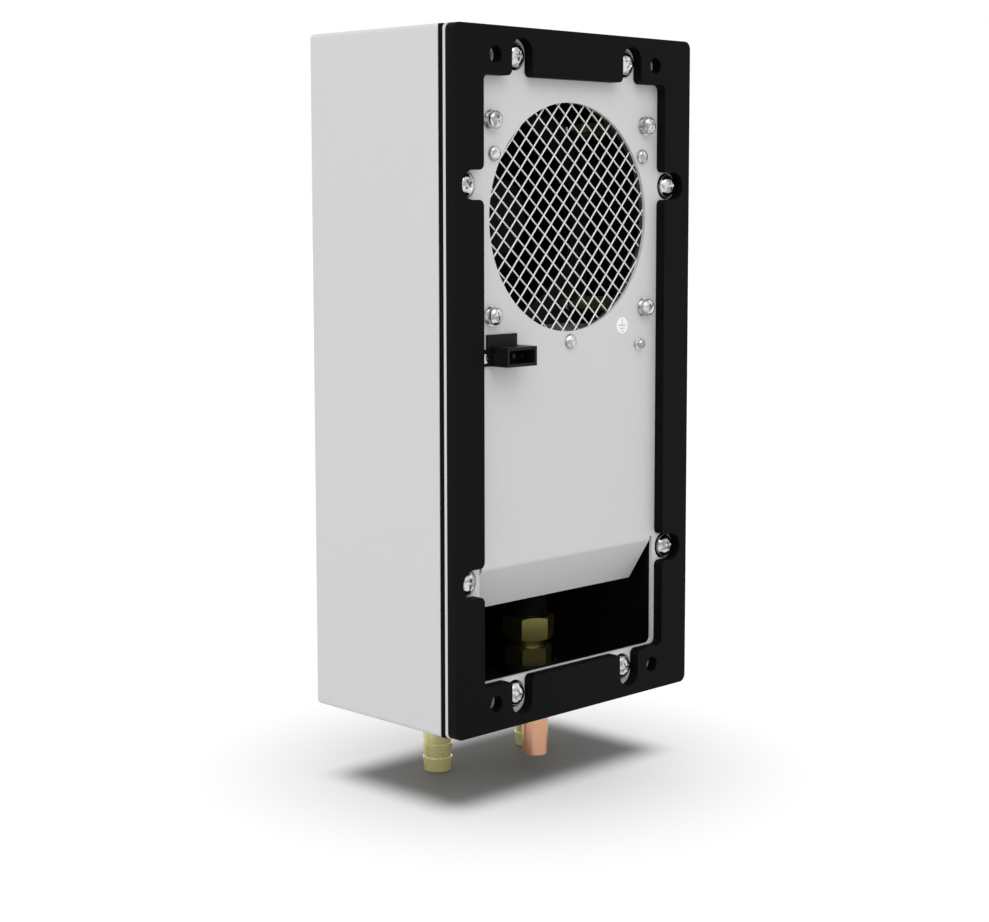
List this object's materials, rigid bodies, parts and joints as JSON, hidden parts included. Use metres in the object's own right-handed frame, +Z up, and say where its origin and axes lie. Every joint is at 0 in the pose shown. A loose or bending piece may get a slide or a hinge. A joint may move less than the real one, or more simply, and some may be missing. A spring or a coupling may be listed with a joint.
{
  "type": "air-to-water heat exchanger",
  "caption": "Slim wall-mounted cabinet cooler with a guarded round air inlet, a slanted air outlet, a foam mounting gasket and two hose tails below.",
  "frame": {"origin": "centre of the gasket's mounting face", "axes": "+Z up, +Y out of the unit into the cabinet, +X towards the plug socket"},
  "size_m": [0.15, 0.0987, 0.3334],
  "materials": {
    "cover_paint": "fine powder coat",
    "plate_paint": "fine powder coat",
    "gasket_foam": "closed-cell foam",
    "seal_rubber": "smooth rubber",
    "zinc_fastener": "bright zinc plate",
    "rivet_aluminium": "satin",
    "guard_wire": "galvanised wire",
    "galvanised_sheet": "galvanised sheet",
    "black_sheet": "matt black",
    "brass": "turned, slightly dull",
    "copper": "drawn copper",
    "fin_aluminium": "bare foil",
    "fan_plastic": "moulded",
    "shaft_steel": "ground",
    "stator_iron": "wound laminations",
    "sleeve_foam": "foam tube",
    "tray_plastic": "moulded",
    "plug_plastic": "moulded",
    "contact_metal": "tinned",
    "label_white": "printed film"
  },
  "bodies": {
    "housing": {"cover": "cover_paint", "rear_plate": "plate_paint", "mounting_gasket": "gasket_foam", "cover_seal": "seal_rubber", "cover_screw_seals": "seal_rubber", "port_seals": "seal_rubber", "drain_ring": "seal_rubber", "cover_screws": "zinc_fastener", "cover_rivet_nuts": "zinc_fastener", "mounting_inserts": "zinc_fastener", "fan_carrier_screws": "zinc_fastener", "fan_screw_washers": "zinc_fastener", "carrier_washers": "zinc_fastener", "carrier_screws": "zinc_fastener", "fan_bolts": "zinc_fastener", "fan_nuts": "zinc_fastener", "plug_screws": "zinc_fastener", "earth_stud": "zinc_fastener", "guard_rivets": "rivet_aluminium", "guard_mesh": "guard_wire", "guard_ring": "galvanised_sheet", "intake_shelf": "galvanised_sheet", "end_plate_left": "galvanised_sheet", "end_plate_right": "galvanised_sheet", "fan_carrier": "black_sheet", "fan_standoffs": "brass", "supply_coupling": "brass", "return_coupling": "brass", "supply_union_nut": "brass", "return_union_nut": "brass", "supply_hose_tail": "brass", "return_hose_tail": "brass", "coil_circuit": "copper", "supply_pipe": "copper", "return_pipe": "copper", "drain_tube": "copper", "fin_pack": "fin_aluminium", "fan_frame": "fan_plastic", "fan_bearings": "shaft_steel", "fan_stator": "stator_iron", "supply_sleeve": "sleeve_foam", "return_sleeve": "sleeve_foam", "cover_liner": "sleeve_foam", "condensate_tray": "tray_plastic", "plug_socket": "plug_plastic", "plug_contacts": "contact_metal", "earth_label": "label_white"},
    "rotor": {"fan_rotor": "fan_plastic", "fan_shaft": "shaft_steel"}
  },
  "joints": [
    {"name": "fan_spin", "type": "hinge", "parent": "housing", "child": "rotor", "pos_m": [0, -0.0589, 0.07], "axis": [0, 1, 0], "continuous": true}
  ]
}
